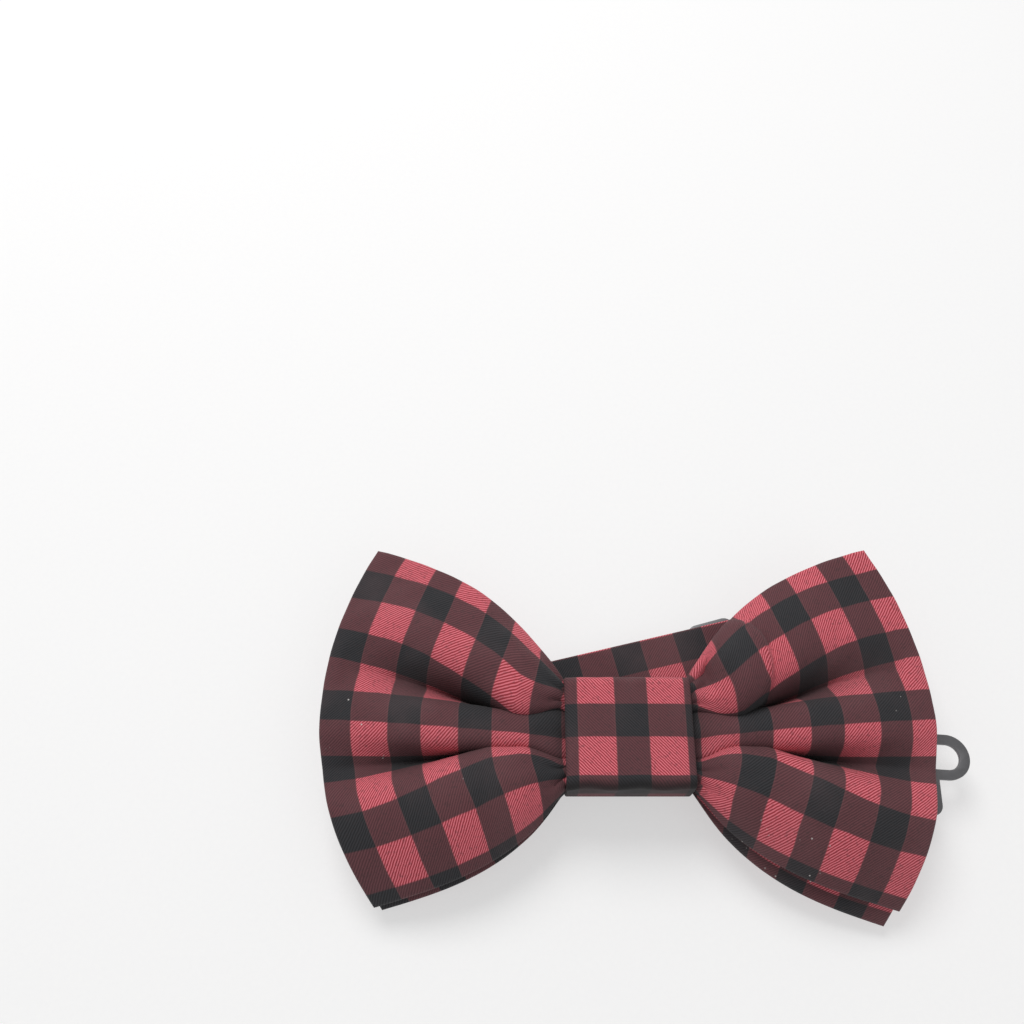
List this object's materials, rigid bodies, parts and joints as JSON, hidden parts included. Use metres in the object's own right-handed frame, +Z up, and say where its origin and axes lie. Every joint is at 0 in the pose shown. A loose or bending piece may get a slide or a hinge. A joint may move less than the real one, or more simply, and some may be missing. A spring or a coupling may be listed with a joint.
{
  "type": "bow tie",
  "caption": "Ready-tied bow tie: two stacked pleated bow layers gripped by a wrapped knot, on a folded neckband with a slider, a hook and a ring eye.",
  "frame": {"origin": "under the middle of the whole tie, on the surface it lies on", "axes": "+X to the viewer's right along the bow, +Y to the bow's top edge, +Z up out of the knot's face"},
  "size_m": [0.1324, 0.0736, 0.0203],
  "materials": {
    "check_cloth": "matt cotton twill, red and black gingham check of 14 mm",
    "thread": "dark polyester sewing thread",
    "interlining": "matt non-woven",
    "dark_metal": "satin gunmetal coating on stamped steel"
  },
  "bodies": {
    "bow": {"front_bow": "check_cloth", "back_bow": "check_cloth", "waist_thread": "thread", "knot_interlining": "interlining", "knot_band": "check_cloth", "knot_seam_stitches": "thread", "neckband_center": "check_cloth", "eye_end_stitches": "thread", "neckband_fold_1": "check_cloth"},
    "eye": {"eye": "dark_metal"},
    "band_2": {"neckband_run_2": "check_cloth", "neckband_fold_2": "check_cloth"},
    "band_3": {"neckband_run_3": "check_cloth"},
    "hook_end": {"hook_end_turn": "check_cloth", "neckband_return": "check_cloth"},
    "slider": {"slider": "dark_metal", "slider_end_wrap": "check_cloth", "slider_end_stitches": "thread"},
    "hook": {"hook": "dark_metal"}
  },
  "joints": [
    {"name": "band_fold_1", "type": "hinge", "parent": "bow", "child": "band_2", "pos_m": [-0.05025, -0.0032, 0.00755], "axis": [-0.1175, 0.9931, 0], "range_deg": [0, 180], "deforming": ["neckband_fold_1"]},
    {"name": "band_fold_2", "type": "hinge", "parent": "band_2", "child": "band_3", "pos_m": [0.04775, 0.02033, 0.00495], "axis": [0.2504, -0.9681, 0], "range_deg": [0, 180], "deforming": ["neckband_fold_2"]},
    {"name": "hook_shift", "type": "slide", "parent": "band_3", "child": "hook_end", "axis": [-0.9636, -0.2672, 0], "range_m": [0, 0.048], "deforming": ["neckband_return"]},
    {"name": "slider_slide", "type": "slide", "parent": "hook_end", "child": "slider", "axis": [-0.9636, -0.2672, 0], "range_m": [0, 0.048]},
    {"name": "hook_swing", "type": "hinge", "parent": "hook_end", "child": "hook", "pos_m": [-0.04929, -0.00658, 0.0021], "axis": [0.2672, -0.9636, 0], "range_deg": [0, 100]},
    {"name": "eye_swing", "type": "hinge", "parent": "bow", "child": "eye", "pos_m": [0.05467, -0.00595, 0.00785], "axis": [0.061, 0.9981, 0], "range_deg": [-15, 90]}
  ],
  "couplings": [
    {"joint": "band_fold_2", "follows": "band_fold_1", "ratio": 1},
    {"joint": "slider_slide", "follows": "hook_shift", "ratio": 1}
  ]
}
